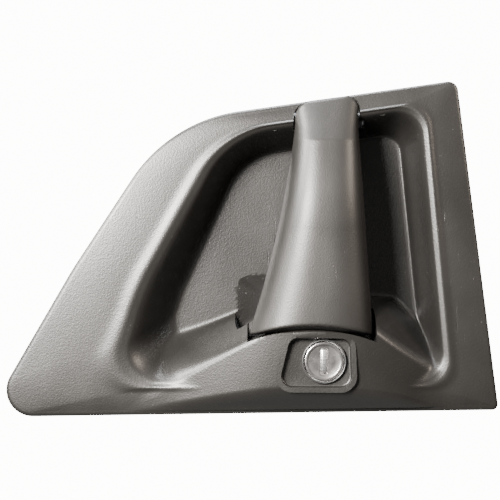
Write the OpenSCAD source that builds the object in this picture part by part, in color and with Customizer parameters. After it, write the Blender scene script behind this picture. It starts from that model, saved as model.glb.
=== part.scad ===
/* [Panel] */
// Width of the panel along its bottom edge
panel_w = 257.6; // [206:0.1:310]
// Height of the panel from its bottom left corner to its top right corner
panel_h = 169.4; // [141:0.1:204]
// Depth of the bowl behind the flange front
bowl_d = 26; // [21:0.5:31]
// Wall of the moulded panel
wall = 2.5; // [2:0.1:3]
/* [Grip] */
// How far the grip's front stands out of the flange at its lower end
grip_proud = 22; // [18:0.5:26.5]
// Wall of the grip shell
grip_wall = 2.6; // [2:0.1:3.2]
// Diameter of the grip's hinge pin
hinge_pin_d = 5; // [4:0.1:6]
/* [Lock] */
// Diameter of the bright lock face
lock_face_d = 19.3; // [15.5:0.1:19.6]
// Diameter of the turning plug
plug_d = 16; // [13.5:0.1:17.2]
/* [Drive] */
// Diameter of the bell crank's pivot pin
crank_pin_d = 6; // [4.8:0.1:7.2]
// Diameter of the roller on the bell crank
roller_d = 7; // [5.6:0.1:8.4]
// Thickness of the steel plates of the drive
plate_t = 3; // [2.4:0.1:3.2]
/* [Fixing] */
// Diameter of the fixing studs
stud_d = 6; // [5:0.1:7.2]
// Stud spacing along the width
stud_x = 164.4; // [150:0.2:166]
// Stud spacing along the height
stud_z = 76; // [70:1:84]
/* [Hidden] */
$fn = 48;
run = 0.05;      // radial running clearance
slip = 0.1;      // radial clearance of parts that are dropped in

// --- frame: X right, Z up, the outside of the door is -Y, door skin at Y = 0 ---
sx = panel_w / 257.6;
sz = panel_h / 169.4;
y_fl = -6;                 // flange front next to the bowl
y_ed = -4.6;               // flange front next to the edge
gasket_t = 1.5;
y_floor = y_fl + bowl_d;   // bowl floor, front
y_plat = -22;              // front of the lock plinth

// rounded outlines: [x, z, corner radius], counter-clockwise seen from outside
OUT = [[-147.6 * sx, -54 * sz, 13.4], [110 * sx, -50.4 * sz, 3], [89 * sx, 115.4 * sz, 5],
  [-55.3 * sx, 94.9 * sz, 78], [-104.5 * sx, 20 * sz, 200]];
RIM = [[-83, -37.5, 16], [83.9, -37, 14], [71.3, 102.6, 14], [-26.3, 88.7, 46], [-70, 9, 120]];
FLOOR = [[-58, -17, 12], [73, -19, 9], [62, 90, 9], [-19, 77.5, 32], [-49, 9, 90]];

function xz(p) = [p[0], p[1]];
function unit(v) = v / norm(v);
function nin(a, b) = let(e = unit(xz(b) - xz(a))) [-e[1], e[0]];
function ncor(P, i) = let(k = len(P)) [nin(P[(i + k - 1) % k], P[i]), nin(P[i], P[(i + 1) % k])];
function ins(P, d) = [for (i = [0:len(P) - 1]) let(n = ncor(P, i),
  q = xz(P[i]) + (n[0] + n[1]) * d / (1 + n[0] * n[1])) [q[0], q[1], max(0.3, P[i][2] - d)]];
function rot2(v, a) = [v[0] * cos(a) - v[1] * sin(a), v[0] * sin(a) + v[1] * cos(a)];
function arc(P, i, na) = let(n = ncor(P, i), r = P[i][2], b = acos(n[0] * n[1]),
  c = xz(P[i]) + (n[0] + n[1]) * r / (1 + n[0] * n[1])) [for (k = [0:na]) c - r * rot2(n[0], b * k / na)];
function loop(P, na = 6, m = 5) = [for (i = [0:len(P) - 1]) let(a = arc(P, i, na),
  b = arc(P, (i + 1) % len(P), na)) each concat(a,
  [for (k = [1:1:m - 1]) a[na] + (b[0] - a[na]) * k / m])];
function mix(A, B, u) = [for (i = [0:len(A) - 1]) A[i] + (B[i] - A[i]) * u];
function ring(A, y) = [for (p = A) [p[0], y, p[1]]];
function ease(u) = u * u * (3 - 2 * u);

// a closed solid from a list of rings, with a middle point on the first and the last one
function mid(A) = [for (c = [0:2]) [for (p = A) p[c]] * [for (p = A) 1] / len(A)];
module skin(R) {
  n = len(R[0]);
  m = len(R);
  polyhedron(points = concat([for (r = R) each r], [mid(R[0]), mid(R[m - 1])]), faces = concat(
    [for (i = [0:n - 1]) [(i + 1) % n, i, m * n]],
    [for (j = [0:m - 2]) for (i = [0:n - 1]) let(k = (i + 1) % n)
      [j * n + i, j * n + k, (j + 1) * n + i]],
    [for (j = [0:m - 2]) for (i = [0:n - 1]) let(k = (i + 1) % n)
      [j * n + k, (j + 1) * n + k, (j + 1) * n + i]],
    [for (i = [0:n - 1]) [(m - 1) * n + i, (m - 1) * n + (i + 1) % n, m * n + 1]]));
}

// 2D in X,Z carried along Y; 2D in Y,Z carried along X
module ys(y0, y1) translate([0, y1, 0]) rotate([90, 0, 0]) linear_extrude(y1 - y0) children();
module xs(x0, x1) translate([x0, 0, 0]) rotate([90, 0, 90]) linear_extrude(x1 - x0) children();
module cy(x, z, y0, y1, r) translate([x, y0, z]) rotate([-90, 0, 0]) cylinder(r = r, h = y1 - y0);
module cx(y, z, x0, x1, r) translate([x0, y, z]) rotate([0, 90, 0]) cylinder(r = r, h = x1 - x0);
module box(x0, x1, y0, y1, z0, z1) translate([x0, y0, z0]) cube([x1 - x0, y1 - y0, z1 - z0]);
module rrect(x0, x1, z0, z1, r) {
  translate([x0 + r, z0]) square([x1 - x0 - 2 * r, z1 - z0]);
  translate([x0, z0 + r]) square([x1 - x0, z1 - z0 - 2 * r]);
  for (x = [x0 + r, x1 - r], z = [z0 + r, z1 - r]) translate([x, z]) circle(r);
}
// a coil of round wire about X: it starts at angle a0 and climbs by pitch on each turn
module coil_x(y, z, x0, turns, rc, rw, pitch, a0) {
  n = ceil(turns * 20);
  skin([for (i = [0:n]) let(a = a0 + 360 * turns * i / n, x = x0 + pitch * turns * i / n)
    [for (k = [0:9]) let(b = 36 * k, r = rc + rw * cos(b)) [x + rw * sin(b), y + r * cos(a), z + r * sin(a)]]]);
}

// --- positions ---
hinge_y = 4; hinge_z = 95.5;
hinge_r = hinge_pin_d / 2;
bush_r = hinge_r + 1;
ear_r = bush_r + 1.7;
ear_l = [9.5, 14.5]; ear_r_x = [33, 38];
cheek_t = 2;
arch_c = [15.3, -92]; arch_r = 83; arch_gap = 2.3;
lock_x = 21.3; lock_z = -24.6;
y_pocket = -17.6;
face_r = lock_face_d / 2;
plug_r = plug_d / 2;
body_r = 10.6;
barrel_in = body_r + slip;
barrel_out = 13.2;
barrel_end = 12.8;
arm_x0 = 1.5; arm_x1 = arm_x0 + plate_t;
crank_x0 = 6.2; crank_x1 = crank_x0 + plate_t;
crank_y = 36; crank_z = -22.5; crank_len = 28; crank_a0 = 16;
roll_y = crank_y + crank_len * sin(crank_a0);
roll_z = crank_z + crank_len * cos(crank_a0);
out_len = 20;
mb_y = 31; mb_t = 2;
recess_y = y_floor + 4.5;
ck_l = -4; ck_r = 12.5;
posts_m = [[-31, -14], [-24, 24], [34, 24]];
posts_h = [[-3, 93.4], [51, 101.1]];
hb_y = 9.8;
pr = 0.1;
screw_r = 1.9;
pin_r = crank_pin_d / 2;

// --- panel ---
slope = [for (j = [0:8]) atan(bowl_d * 6 * (j / 8) * (1 - j / 8) / 14.5)];
function wallring(j, o) = let(u = j / 8, d = o * sin(slope[j]))
  ring(mix(loop(ins(RIM, -d)), loop(ins(FLOOR, -d)), u), y_fl + bowl_d * ease(u) + o * cos(slope[j]));
module shell_panel() skin(concat(
  [for (j = [8:-1:0]) wallring(j, 0)],
  [ring(mix(loop(RIM), loop(ins(OUT, 2.4)), 0.35), -6.1),
   ring(mix(loop(RIM), loop(ins(OUT, 2.4)), 0.75), -5.4),
   ring(loop(ins(OUT, 2.4)), y_ed), ring(loop(ins(OUT, 0.8)), y_ed + 0.7), ring(loop(OUT), y_ed + 2),
   ring(loop(OUT), -gasket_t), ring(loop(ins(OUT, 5)), -gasket_t), ring(loop(ins(OUT, 5.2)), -2.4)],
  [for (j = [0:8]) wallring(j, wall)]));
PT = [[-3, -38, 4], [46, -38, 4], [46.2, -15.6, 3], [38, -12.2, 12], [15.3, -9, 60], [-8, -12.2, 12],
  [-14, -14.4, 3]];
PF = [[-57, -50.6, 3], [55.5, -50.2, 4], [55.5, -14, 6], [40, -9, 12], [15.3, -4, 40], [-14, -9, 12],
  [-57, -33, 4]];
PB = [[-60, -46.2, 3], [60, -46, 4], [60, -10, 6], [42, 0, 12], [15.3, 3, 40], [-16, 1, 12],
  [-60, -26, 4]];
module notch(d) ys(y_plat - 20, 1 + d) difference() {
  translate([-17 - d, -30]) square([64.5 + 2 * d, 50]);
  translate(arch_c) circle(arch_r - d, $fn = 160);
}
module plinth(d, y_end) difference() {
  union() {
    hull() {
      ys(y_plat + d, y_plat + d + 0.1) polygon(loop(ins(PT, d), 4, 1));
      ys(y_fl + d, y_fl + d + 0.1) polygon(loop(ins(PF, d), 4, 1));
    }
    ys(y_fl + d + 0.1, -2) polygon(loop(ins(PF, d), 4, 1));
    ys(y_fl + d + 0.1, y_end) polygon(loop(ins(PB, d), 4, 1));
  }
  notch(d);
}
POCKET = [[-1.4, -37, 5.5], [35, -37.2, 5.5], [34, -13.2, 5], [4.5, -13.2, 5]];
module stud(x, z, c = 0) {
  cy(x, z, -3.9 - c, -2.3 + c, 5 + c);
  cy(x, z, -2.4, -gasket_t, stud_d / 2 + 0.6 + c);
  cy(x, z, -gasket_t - 0.1, 16, stud_d / 2);
}
STUDS = [for (x = [-1, 1], z = [-1, 1]) [x * stud_x / 2, z * stud_z / 2]];
module panel() color("#2b2c2e") difference() {
  union() {
    difference() {
      union() { shell_panel(); plinth(0, y_floor + 1); }
      plinth(wall, y_floor + 8);
      // room for the lock rod's clip and its swing
      box(lock_x - tail_len - 5, lock_x + tail_len + 5, 14.5, y_floor + 8, -60, lock_z - 6);
      // way through for the grip's head
      box(6.2, 43.5, -30, 16, 83, 99);
      box(6.2, 43.5, -30, -4, 98, 125);
    }
    // strip that bridges the head's way at the top edge
    ys(-4, -2.2) intersection() {
      polygon(loop(ins(OUT, 1)));
      translate([1, 99]) square([47, 12]);
    }
    // lock barrel, screw posts, stud bosses, locating peg, ribs
    cy(lock_x, lock_z, y_plat + 1.2, barrel_end, barrel_out);
    for (p = posts_m) cy(p[0], p[1], y_floor + 1, mb_y, 4.2);
    for (p = posts_h) cy(p[0], p[1], -4.4, hb_y, 3.6);
    for (p = STUDS) cy(p[0], p[1], -4.2, -gasket_t, 6.4);
    cy(-112, -28, -4.2, 5, 3);
    ys(y_floor + 1, recess_y + 2.2) rrect(-21.9, 21.4, -12.6, 17.4, 6);
    for (x = [-20, 40]) box(x, x + 2, -8, 8, -45, -20);
    ys(y_plat + 1, y_pocket + wall) polygon(loop(ins(POCKET, -wall), 6, 1));
  }
  // pocket round the lock face
  ys(y_plat - 5, y_pocket) polygon(loop(POCKET, 6, 1));
  // lock bore
  cy(lock_x, lock_z, y_plat - 5, barrel_end + 5, barrel_in);
  // recess in the bowl floor, and the slot for the pull arm in it
  ys(1, recess_y) rrect(-19.5, 19, -10.2, 15, 4);
  ys(1, recess_y + 5) rrect(-1.5, 12.6, -9.6, 14.6, 1.5);
  for (p = posts_m) cy(p[0], p[1], y_floor + 2.4, mb_y + 5, screw_r + pr);
  for (p = posts_h) cy(p[0], p[1], -0.6, hb_y + 5, screw_r + pr);
  for (p = STUDS) stud(p[0], p[1], 0.02);
}
module panel_gasket() color("#17181a") ys(-gasket_t, 0) difference() {
  polygon(loop(ins(OUT, 0.5)));
  polygon(loop(ins(OUT, 3.1)));
}
module fixing_studs() color("#b9bcc0") for (p = STUDS) stud(p[0], p[1]);

// --- grip hinge ---
module hinge_bracket() color("#a8acb0") difference() {
  union() {
    translate([24, 0, 96.8]) rotate([0, -8.1, 0]) ys(hb_y, hb_y + cheek_t) rrect(-33, 33, -4.1, 4.1, 3);
    for (x = [7, 38.5 + pr]) xs(x, x + cheek_t - pr) {
      translate([hinge_y, hinge_z]) circle(4.6);
      translate([hinge_y, hinge_z - 4.6]) square([hb_y + 0.2 - hinge_y, 9.2]);
    }
  }
  cx(hinge_y, hinge_z, 0, 50, hinge_r + 0.02);
  for (p = posts_h) cy(p[0], p[1], 0, 20, screw_r + pr);
}
module hinge_pin() color("#c7c9cc") difference() {
  union() {
    cx(hinge_y, hinge_z, 6, 42.4, hinge_r);
    cx(hinge_y, hinge_z, 5.6, 6.98, hinge_r + 1.3);
  }
  rotate([0, 0, 0]) translate([40.8, hinge_y, hinge_z]) rotate([0, 90, 0]) difference() {
    cylinder(r = 8, h = 0.8);
    translate([0, 0, -1]) cylinder(r = hinge_r - 0.5, h = 3);
  }
}
module snap_x(x, y, z, ri, ro, t) difference() {
  cx(y, z, x, x + t, ro);
  cx(y, z, x - 1, x + t + 1, ri);
  translate([x - 1, y, z]) rotate([0, 0, 0]) box(0, t + 2, -0.8 * ri, 0.8 * ri, 0, ro + 1);
}
module hinge_pin_clip() color("#5d6064")
  snap_x(40.85, hinge_y, hinge_z, hinge_r - 0.48, hinge_r + 1.8, 0.7);
module bush(x, s) difference() {
  union() {
    cx(hinge_y, hinge_z, x, x + 5, bush_r - 0.02);
    cx(hinge_y, hinge_z, s > 0 ? x + 5 : x - 0.45, s > 0 ? x + 5.45 : x, bush_r + 1.3);
  }
  cx(hinge_y, hinge_z, x - 2, x + 8, hinge_r + run);
}
module hinge_bushes() color("#e4e0d2") { bush(ear_l[0], -1); bush(ear_r_x[0], 1); }
module grip_spring() color("#8f9499") {
  rc = hinge_r + 1.2;
  coil_x(hinge_y, hinge_z, 18, 4.5, rc, 0.7, 1.5, 90);
  cy(18, hinge_z + rc, hinge_y - 0.2, hb_y - 0.05, 0.64);
  translate([18 + 4.5 * 1.5, hinge_y + 0.2, hinge_z - rc]) rotate([112, 0, 0]) cylinder(r = 0.64, h = 6.6);
}

// --- grip ---
function gt(z) = (97 - z) / 111.5;
function gl(z) = let(t = gt(z)) t < 0.06 ? 7.43 : 8.2 - 12 * t - 12.6 * t * t;
function gr(z) = let(t = gt(z)) t < 0.06 ? 39.2 : 38.75 + 7.6 * t;
function gh(z) = z > 84 ? 14 - (z - 84) * 0.5
  : z > 40 ? 14 + (grip_proud - 14) * 0.86 * sin(90 * (84 - z) / 44)
  : 14 + (grip_proud - 14) * (0.86 + 0.14 * (40 - z) / 55);
grip_back = -3;
function gsec(z, d, yb) = let(a = gl(z) + d, b = gr(z) - d, c = (a + b) / 2, w = (b - a) / 2,
  h = gh(z) - d - y_fl + yb, n = 26)
  [for (k = [0:n]) let(f = 180 * k / n, cs = cos(f), sn = sin(f))
    [c - w * sign(cs) * pow(abs(cs), 0.72), yb - h * pow(abs(sn), cs > 0 ? 0.84 : 0.62), z]];
module gloft(d, yb, z0, z1, n) skin([for (i = [0:n]) let(z = z1 + (z0 - z1) * i / n) gsec(z, d, yb)]);
module arch(d) cy(arch_c[0], arch_c[1], -60, 60, arch_r + arch_gap + d);
module ear(x) {
  xs(x[0], x[1]) {
    translate([hinge_y, hinge_z]) circle(ear_r);
    polygon([[-6, 84.2], [7.7, hinge_z - 3.7], [0.5, hinge_z - 3.7], [-6, 92.5]]);
    polygon([[-6, 84.2], [0.5, hinge_z - 3.7], [0.5, hinge_z + 2], [-4, 94.5], [-6, 94.5]]);
  }
}
module grip_shell() color("#333436") difference() {
  union() {
    difference() {
      gloft(0, grip_back, -16, 106, 22);
      arch(0);
      difference() {
        gloft(grip_wall, grip_back + 20, -16, 84, 18);
        arch(grip_wall);
      }
      box(0, 50, -6.7, 30, 97.4, 130);
    }
    ear(ear_l);
    ear(ear_r_x);
    // block that takes the pull arm, and posts for the cover's screws
    box(arm_x1 + slip, arm_x1 + 7, -25.2, -5.4, -4, 14);
    for (p = cover_pts) cy(p[0], p[1], y_fl - gh(p[1]) + 1.4, -5.25, 3.6);
  }
  cx(hinge_y, hinge_z, 0, 50, bush_r);
  for (p = cover_pts) cy(p[0], p[1], -16, 5, 1.6);
  for (p = arm_pts) cx(p[0], p[1], arm_x1 - 1, arm_x1 + 6, 1.6);
}
cover_pts = [[22, 72], [22, 36], [24, 2]];
arm_pts = [[-15, 2.5], [-9.5, 9.5]];
module grip_cover() color("#2f3032") difference() {
  intersection() {
    gloft(grip_wall + slip, grip_back + 20, -16, 83.8, 18);
    box(-30, 60, -5.2, -3.2, -20, 90);
  }
  arch(grip_wall + slip);
  box(arm_x0 - 0.3, arm_x1 + 0.3, -10, 0, -6, 15.5);
  for (p = cover_pts) cy(p[0], p[1], -8, 0, 1.7);
}
module grip_screws() color("#77797c") for (p = cover_pts) difference() {
  union() { cy(p[0], p[1], -14, -3.18, 1.5); cy(p[0], p[1], -3.2, -1.4, 3); }
  cy(p[0], p[1], -2.4, 0, 1.2);
}
module pull_arm() color("#9aa0a6") {
  w = roller_d + 0.6;
  difference() {
    xs(arm_x0, arm_x1) difference() {
      union() {
        polygon([[-18.5, -2], [-4.5, -2], [-4.5, 13], [-12.5, 13], [-17, 6]]);
        translate([-8, -1.5]) square([roll_y + 3, 13]);
        translate([roll_y, roll_z]) circle(w / 2 + 3.2);
        translate([roll_y, roll_z + 6]) circle(w / 2 + 3.2);
        translate([roll_y - w / 2 - 3.2, roll_z]) square([w + 6.4, 6]);
      }
      translate([roll_y, roll_z]) circle(w / 2);
      translate([roll_y, roll_z + 6]) circle(w / 2);
      translate([roll_y - w / 2, roll_z]) square([w, 6]);
      for (p = arm_pts) translate(p) circle(1.7);
    }
  }
}
module arm_screws() color("#77797c") for (p = arm_pts) difference() {
  union() { cx(p[0], p[1], arm_x0 - 0.05, arm_x1 + 5, 1.5); cx(p[0], p[1], arm_x0 - 2, arm_x0, 3); }
  cx(p[0], p[1], arm_x0 - 3, arm_x0 - 0.9, 1.2);
}

// --- bell crank ---
module mechanism_bracket() color("#a8acb0") difference() {
  union() {
    ys(mb_y, mb_y + mb_t) difference() {
      union() {
        rrect(-36, 20, -21, 30, 4);
        rrect(0, 40, 18.5, 30, 4);
      }
      translate([ck_l + cheek_t, -40]) square([ck_r - ck_l - cheek_t, 59.5]);
      rrect(-27, -11, -6, 16, 3);
      translate([-11, -24]) square([40, 8.5]);
    }
    for (x = [ck_l, ck_r]) xs(x, x + cheek_t) {
      translate([crank_y, crank_z]) circle(pin_r + 4);
      translate([mb_y, -21]) square([5 + 3, 14]);
      translate([mb_y, crank_z]) square([5, 8]);
    }
  }
  cx(crank_y, crank_z, -20, 30, pin_r + 0.02);
  for (p = posts_m) cy(p[0], p[1], 20, 40, screw_r + pr);
}
module bscrew(x, z, y) difference() {
  union() { cy(x, z, y - 7.6, y + 0.05, screw_r); cy(x, z, y, y + 2.4, 3.6); }
  cy(x, z, y + 1, y + 3, 1.4, $fn = 6);
}
module bracket_screws() color("#8a8d90") {
  for (p = posts_m) bscrew(p[0], p[1], mb_y + mb_t);
  for (p = posts_h) bscrew(p[0], p[1], hb_y + cheek_t);
}
module crank_pivot_pin() color("#c7c9cc") difference() {
  union() {
    cx(crank_y, crank_z, ck_l - 0.5, ck_r + cheek_t + 2, pin_r);
    cx(crank_y, crank_z, ck_l - 1.6, ck_l - 0.02, pin_r + 2);
  }
  translate([ck_r + cheek_t + 0.1, crank_y, crank_z]) rotate([0, 90, 0]) difference() {
    cylinder(r = 9, h = 0.9);
    translate([0, 0, -1]) cylinder(r = pin_r - 0.6, h = 3);
  }
}
module crank_pivot_clip() color("#5d6064")
  snap_x(ck_r + cheek_t + 0.15, crank_y, crank_z, pin_r - 0.58, pin_r + 2.2, 0.8);
hub_r = pin_r + 2.2;
module crank_lever() color("#9aa0a6") difference() {
  union() {
    cx(crank_y, crank_z, ck_l + cheek_t + 0.2, ck_r - 0.2, hub_r);
    xs(crank_x0, crank_x1) {
      translate([crank_y, crank_z]) {
        circle(hub_r + 1.6);
        rotate(90 - crank_a0) translate([0, -4]) square([crank_len, 8]);
        translate([0, -4]) square([out_len, 8]);
      }
      translate([roll_y, roll_z]) circle(5);
      translate([crank_y + out_len, crank_z]) circle(5);
    }
  }
  cx(crank_y, crank_z, -20, 30, pin_r + run);
  cx(roll_y, roll_z, 0, 20, 2.02);
  cx(crank_y + out_len, crank_z, 0, 20, 2.52);
}
module crank_roller_pin() color("#c7c9cc") {
  cx(roll_y, roll_z, arm_x0 - 1.4, crank_x1 + 0.8, 2);
  cx(roll_y, roll_z, arm_x0 - 1.4, arm_x0 - 0.3, 2.8);
  cx(roll_y, roll_z, crank_x1 + 0.02, crank_x1 + 1, 3);
}
module crank_roller() color("#e4e0d2") difference() {
  cx(roll_y, roll_z, arm_x0 - 0.2, crank_x0 - 0.15, roller_d / 2);
  cx(roll_y, roll_z, -5, 20, 2.06);
}
module crank_spring() color("#8f9499") {
  rc = hub_r + 0.8;
  x0 = ck_l + cheek_t + 1.2;
  coil_x(crank_y, crank_z, x0, 3.75, rc, 0.6, 1.25, 180);
  cz(x0, crank_y - rc, crank_z - 0.2, crank_z + 8, 0.54);
  cx(crank_y - rc, crank_z + 7.2, x0 - 5, x0, 0.5);
  cy(x0 + 3.75 * 1.25, crank_z - rc, crank_y, crank_y + 12, 0.54);
  cx(crank_y + 11.2, crank_z - rc, x0 + 3.75 * 1.25, crank_x0 + 2, 0.5);
}
module latch_rod_clip() color("#d8c9a0") difference() {
  union() {
    cx(crank_y + out_len, crank_z, crank_x0 - 1.8, crank_x1 + 4.5, 2.5);
    cx(crank_y + out_len, crank_z, crank_x1 + 0.03, crank_x1 + 5.5, 4.4);
    cx(crank_y + out_len, crank_z, crank_x0 - 1.8, crank_x0 - 0.03, 3.4);
  }
  cx(crank_y + out_len, crank_z, -20, 30, 1.55);
}

// --- lock ---
module lock_housing() color("#8f8f88") difference() {
  union() {
    cy(lock_x, lock_z, y_pocket, 18, body_r);
  }
  cy(lock_x, lock_z, y_pocket - 1, 19, plug_r + run);
  for (g = [-10, 13]) translate([lock_x, g, lock_z]) rotate([-90, 0, 0]) difference() {
    cylinder(r = 20, h = 1.4);
    translate([0, 0, -1]) cylinder(r = body_r - 1.2, h = 4);
  }
}
module lock_seal() color("#101112") translate([lock_x, -9.3, lock_z]) rotate([-90, 0, 0])
  rotate_extrude() translate([body_r - 0.55, 0]) circle(0.6, $fn = 16);
module lock_clip() color("#9aa0a6") difference() {
  cy(lock_x, lock_z, 13.1, 14.3, barrel_out + 1.4);
  cy(lock_x, lock_z, 12, 16, body_r - 1.15);
  box(lock_x - body_r + 1.15, lock_x + body_r - 1.15, 12, 16, lock_z, lock_z + 20);
}
module lock_bezel() color("#232426") translate([lock_x, 0, lock_z]) rotate([-90, 0, 0])
  rotate_extrude() polygon([[face_r + 0.35, y_pocket - 0.02], [face_r + 0.35, y_pocket - 1.5],
    [face_r + 0.6, y_pocket - 1.8], [face_r + 1, y_pocket - 1.5], [face_r + 1.25, y_pocket - 0.7],
    [face_r + 1.25, y_pocket - 0.02]]);
slot_w = 3.2; slot_h = 12;
face_y = y_pocket - 1.2;
module lock_face_cap() color("#d9dadc") difference() {
  translate([lock_x, 0, lock_z]) rotate([-90, 0, 0]) rotate_extrude() polygon([[0, face_y],
    [face_r - 0.5, face_y], [face_r, face_y + 0.5], [face_r, y_pocket - 0.15], [0, y_pocket - 0.15]]);
  box(lock_x - slot_w / 2, lock_x + slot_w / 2, -30, 0, lock_z - slot_h / 2, lock_z + slot_h / 2);
  cz(shut_x, shut_y, lock_z - 6.7, lock_z + 6.7, 0.37);
}
plug_y = y_pocket - 0.14;
wafer_y = [-10, -6, -2, 2, 6];
module lock_plug() color("#b79a5b") difference() {
  union() {
    cy(lock_x, lock_z, plug_y, 18.6, plug_r);
    box(lock_x - 3, lock_x + 3, 18.5, 25.4, lock_z - 3, lock_z + 3);
  }
  box(lock_x - slot_w / 2, lock_x + slot_w / 2, -30, -13.4, lock_z - slot_h / 2, lock_z + slot_h / 2);
  box(lock_x - 1.3, lock_x + 1.3, -14, 11, lock_z - 4.6, lock_z + 4.6);
  for (y = wafer_y) box(lock_x - 3.6, lock_x + 3.6, y, y + 1.2, lock_z - 20, lock_z + 20);
  for (s = [0, 1]) cz(shut_x, shut_y, lock_z - 6.7, lock_z + 6.7, 0.37);
  cy(lock_x, lock_z, 14, 30, 1.6);
}
module cz(x, y, z0, z1, r) translate([x, y, z0]) cylinder(r = r, h = z1 - z0, $fn = 24);
module lock_wafers() color("#c9a94f") for (i = [0:4]) let(y = wafer_y[i], s = (i % 2) * 0.8) difference() {
  box(lock_x - 3.45, lock_x + 3.45, y + 0.1, y + 1.1, lock_z - plug_r + 1.4, lock_z + plug_r - 2.2);
  box(lock_x - 1.2, lock_x + 1.2, y - 1, y + 2, lock_z - 3.8 + s, lock_z + 3.2 + s);
}
module wafer_springs() color("#8f9499") for (y = wafer_y) for (k = [0:2])
  translate([lock_x + 2.4, y + 0.6, lock_z + plug_r - 1.95 + k * 0.5])
    rotate_extrude() translate([0.28, 0]) circle(0.27, $fn = 12);
shut_x = lock_x - slot_w / 2 + 0.75;
shut_y = face_y + 0.85;
module key_shutter() color("#eceded") difference() {
  union() {
    cz(shut_x, shut_y, lock_z - slot_h / 2 + 0.25, lock_z + slot_h / 2 - 0.25, 0.6);
    box(shut_x, lock_x + slot_w / 2 - 0.15, shut_y - 0.6, shut_y + 0.1,
      lock_z - slot_h / 2 + 0.25, lock_z + slot_h / 2 - 0.25);
  }
  cz(shut_x, shut_y, lock_z - 20, lock_z + 20, 0.35);
}
module shutter_pin() color("#8f9499") cz(shut_x, shut_y, lock_z - 6.6, lock_z + 6.6, 0.3);
tail_y = 21.5; tail_len = 20;
module tail_lever() color("#9aa0a6") difference() {
  ys(tail_y, tail_y + 2.5) difference() {
    union() {
      translate([lock_x, lock_z]) circle(6.5);
      translate([lock_x, lock_z - tail_len]) circle(4.5);
      translate([lock_x - 4, lock_z - tail_len]) square([8, tail_len]);
    }
    translate([lock_x - 3.05, lock_z - 3.05]) square(6.1);
    translate([lock_x, lock_z - tail_len]) circle(2.02);
  }
}
module tail_screw() color("#77797c") difference() {
  union() { cy(lock_x, lock_z, 16, 25.45, 1.5); cy(lock_x, lock_z, 25.42, 27.4, 4.4); }
  cy(lock_x, lock_z, 26.4, 29, 1.5, $fn = 6);
}
module lock_rod_clip() color("#d8c9a0") difference() {
  union() {
    cy(lock_x, lock_z - tail_len, tail_y - 1.4, tail_y + 7, 2);
    cy(lock_x, lock_z - tail_len, tail_y + 2.53, tail_y + 7, 3.8);
    cy(lock_x, lock_z - tail_len, tail_y - 1.4, tail_y - 0.03, 2.8);
  }
  cy(lock_x, lock_z - tail_len, 0, 60, 1.3);
}

panel();
panel_gasket();
fixing_studs();
hinge_bracket();
hinge_pin();
hinge_pin_clip();
hinge_bushes();
grip_spring();
grip_shell();
grip_cover();
grip_screws();
pull_arm();
arm_screws();
mechanism_bracket();
bracket_screws();
crank_pivot_pin();
crank_pivot_clip();
crank_lever();
crank_roller();
crank_roller_pin();
crank_spring();
latch_rod_clip();
lock_housing();
lock_bezel();
lock_seal();
lock_clip();
lock_plug();
lock_face_cap();
lock_wafers();
wafer_springs();
key_shutter();
shutter_pin();
tail_lever();
tail_screw();
lock_rod_clip();
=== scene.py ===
"""Looks of a vehicle's outside door handle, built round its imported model.

The panel, the grip and the visible lock pieces are modelled here in more detail than the frame holds them.
All other pieces are the frame's own, dressed with finishes. Sizes are in millimetres and become metres in the
mesh. +X runs along the panel, +Y into the door and +Z up; the door's skin is at Y = 0.
"""

import logging
import math
from dataclasses import dataclass, field
from enum import Enum
from typing import Any, Optional, Sequence, Union

import bpy
import numpy as np
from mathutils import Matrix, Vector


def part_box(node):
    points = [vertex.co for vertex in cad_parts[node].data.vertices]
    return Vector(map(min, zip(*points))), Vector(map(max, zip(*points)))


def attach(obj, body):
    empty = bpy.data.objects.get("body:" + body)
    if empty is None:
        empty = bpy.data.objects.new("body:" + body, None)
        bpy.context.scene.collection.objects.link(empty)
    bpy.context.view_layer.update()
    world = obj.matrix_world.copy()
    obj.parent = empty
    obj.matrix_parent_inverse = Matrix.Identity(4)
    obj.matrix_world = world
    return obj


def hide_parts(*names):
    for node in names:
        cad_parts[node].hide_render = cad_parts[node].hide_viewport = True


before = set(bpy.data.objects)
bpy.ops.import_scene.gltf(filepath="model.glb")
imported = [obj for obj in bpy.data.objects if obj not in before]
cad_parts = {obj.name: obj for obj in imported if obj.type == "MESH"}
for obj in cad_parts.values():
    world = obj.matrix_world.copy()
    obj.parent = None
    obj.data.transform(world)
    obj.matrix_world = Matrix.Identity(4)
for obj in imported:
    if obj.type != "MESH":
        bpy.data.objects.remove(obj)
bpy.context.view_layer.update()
LOG = logging.getLogger("door_handle")
MM = 0.001
Colour = tuple[float, float, float]
Point = tuple[float, float]
Corner = tuple[float, float, float]


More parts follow.
